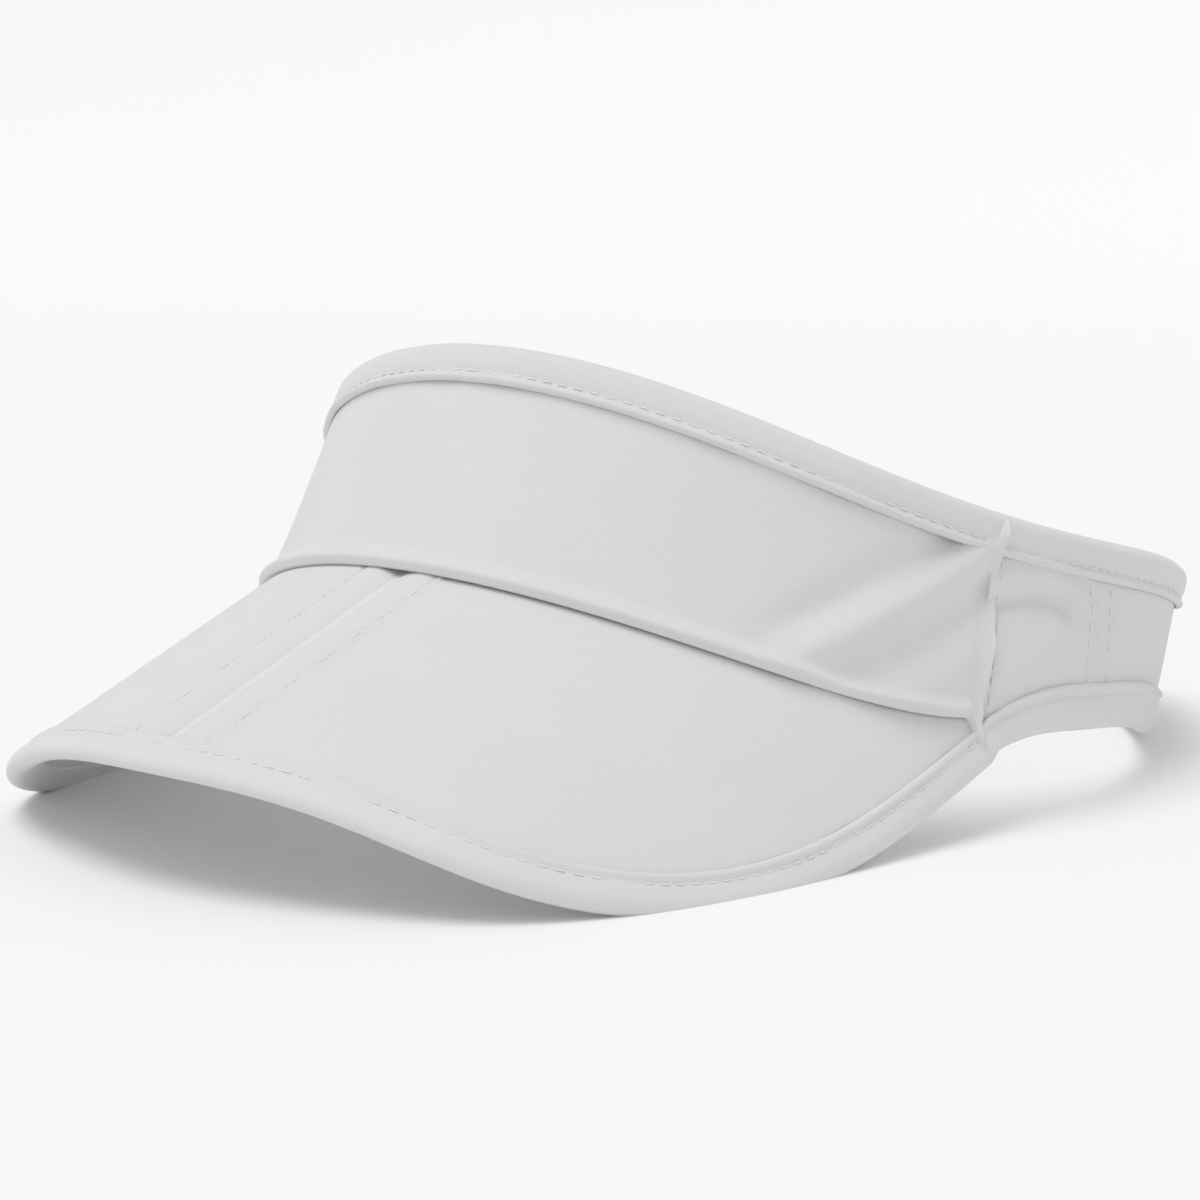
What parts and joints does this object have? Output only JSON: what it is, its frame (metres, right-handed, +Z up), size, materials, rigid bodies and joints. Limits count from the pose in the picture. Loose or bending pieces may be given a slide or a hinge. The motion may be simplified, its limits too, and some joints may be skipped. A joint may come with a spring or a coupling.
{
  "type": "sun visor",
  "caption": "Open-topped cloth sun visor: tilted head band with bound edges, a curved brim in two halves that fold at a sewn centre crease, and a rear hook-and-loop tab.",
  "frame": {"origin": "bottom centre of the bounding box, on the surface the visor lies on", "axes": "+Z up, -Y towards the front of the brim, +X towards the wearer's left"},
  "size_m": [0.1646, 0.266, 0.0847],
  "materials": {
    "shell_cloth": "smooth matte performance cloth",
    "interlining": "stiffened non-woven",
    "lining_cloth": "matte lining cloth",
    "sweatband_cloth": "soft looped towelling",
    "elastic": "covered elastic",
    "binding_cloth": "smooth matte cloth, folded",
    "label_tape": "blank satin tape",
    "strap_webbing": "narrow woven strap",
    "loop_pile": "soft loop pile",
    "brim_stiffener": "flexible sheet",
    "hook_tape": "moulded hooks"
  },
  "bodies": {
    "band": {"front_panel": "shell_cloth", "front_interlining": "interlining", "front_lining": "lining_cloth", "sweatband": "sweatband_cloth", "side_panel_left": "shell_cloth", "side_panel_right": "shell_cloth", "side_lining_left": "lining_cloth", "side_lining_right": "lining_cloth", "rear_elastic_left": "elastic", "rear_elastic_right": "elastic", "top_binding": "binding_cloth", "lower_binding_left": "binding_cloth", "lower_binding_right": "binding_cloth", "care_label": "label_tape", "rear_strap": "strap_webbing", "loop_patch": "loop_pile"},
    "brim_left_half": {"brim_top_left": "shell_cloth", "brim_board_left": "brim_stiffener", "brim_under_left": "lining_cloth", "brim_binding_left": "binding_cloth"},
    "brim_right_half": {"brim_top_right": "shell_cloth", "brim_board_right": "brim_stiffener", "brim_under_right": "lining_cloth", "brim_binding_right": "binding_cloth"},
    "closure": {"closure_tab": "shell_cloth", "hook_patch": "hook_tape"}
  },
  "joints": [
    {"name": "brim_fold_left", "type": "hinge", "parent": "band", "child": "brim_left_half", "pos_m": [0, -0.06864, 0.0421], "axis": [0, 0.9353, 0.354], "range_deg": [0, 22]},
    {"name": "brim_fold_right", "type": "hinge", "parent": "band", "child": "brim_right_half", "pos_m": [0, -0.06864, 0.0421], "axis": [0, 0.9353, 0.354], "range_deg": [-22, 0]},
    {"name": "tab_peel", "type": "hinge", "parent": "band", "child": "closure", "pos_m": [0.035, 0.1211, 0.01569], "axis": [0, -0.3555, -0.9347], "range_deg": [0, 80]}
  ],
  "couplings": [
    {"joint": "brim_fold_right", "follows": "brim_fold_left", "ratio": -1}
  ]
}
